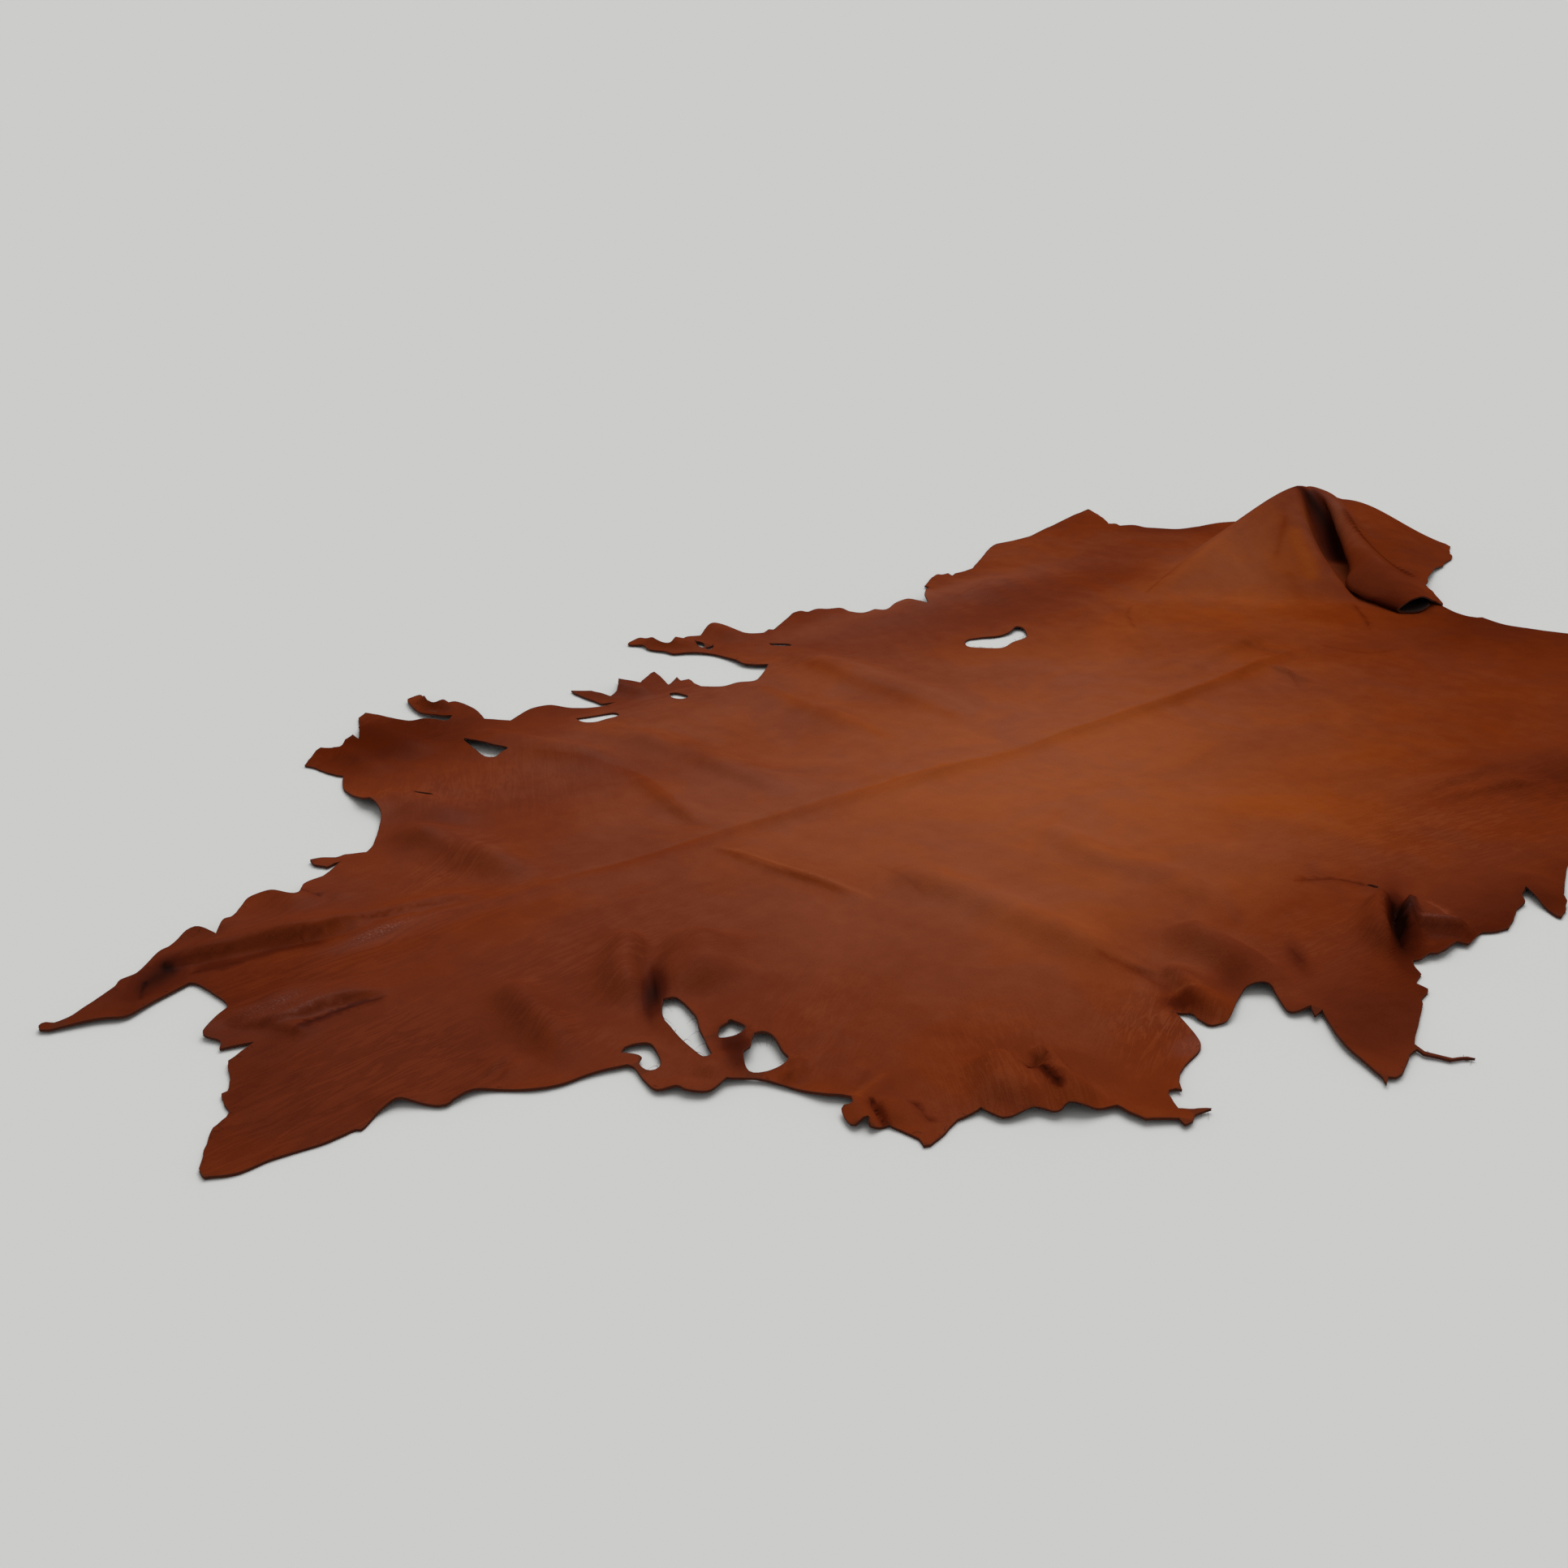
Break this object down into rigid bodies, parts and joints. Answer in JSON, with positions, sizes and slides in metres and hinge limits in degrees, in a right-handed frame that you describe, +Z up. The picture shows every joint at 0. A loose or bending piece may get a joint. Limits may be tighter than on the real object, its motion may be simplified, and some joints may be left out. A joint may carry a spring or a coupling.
{
  "type": "leather hide",
  "caption": "Whole tanned animal hide lying grain side up, with ragged belly edges, natural holes, soft folds and one hind leg raised in a steep pleated fold.",
  "frame": {"origin": "on the floor under the middle of the hide's box", "axes": "+X from the neck to the rump along the backbone, +Y to the flank with the pleated hind leg, +Z up out of the grain side"},
  "size_m": [2.6278, 1.767, 0.1281],
  "materials": {
    "leather": "red-brown dyed full grain, satin, with paler tan where it lies flat and raw cut edges"
  },
  "bodies": {
    "root": {"hide": "leather"}
  },
  "joints": []
}
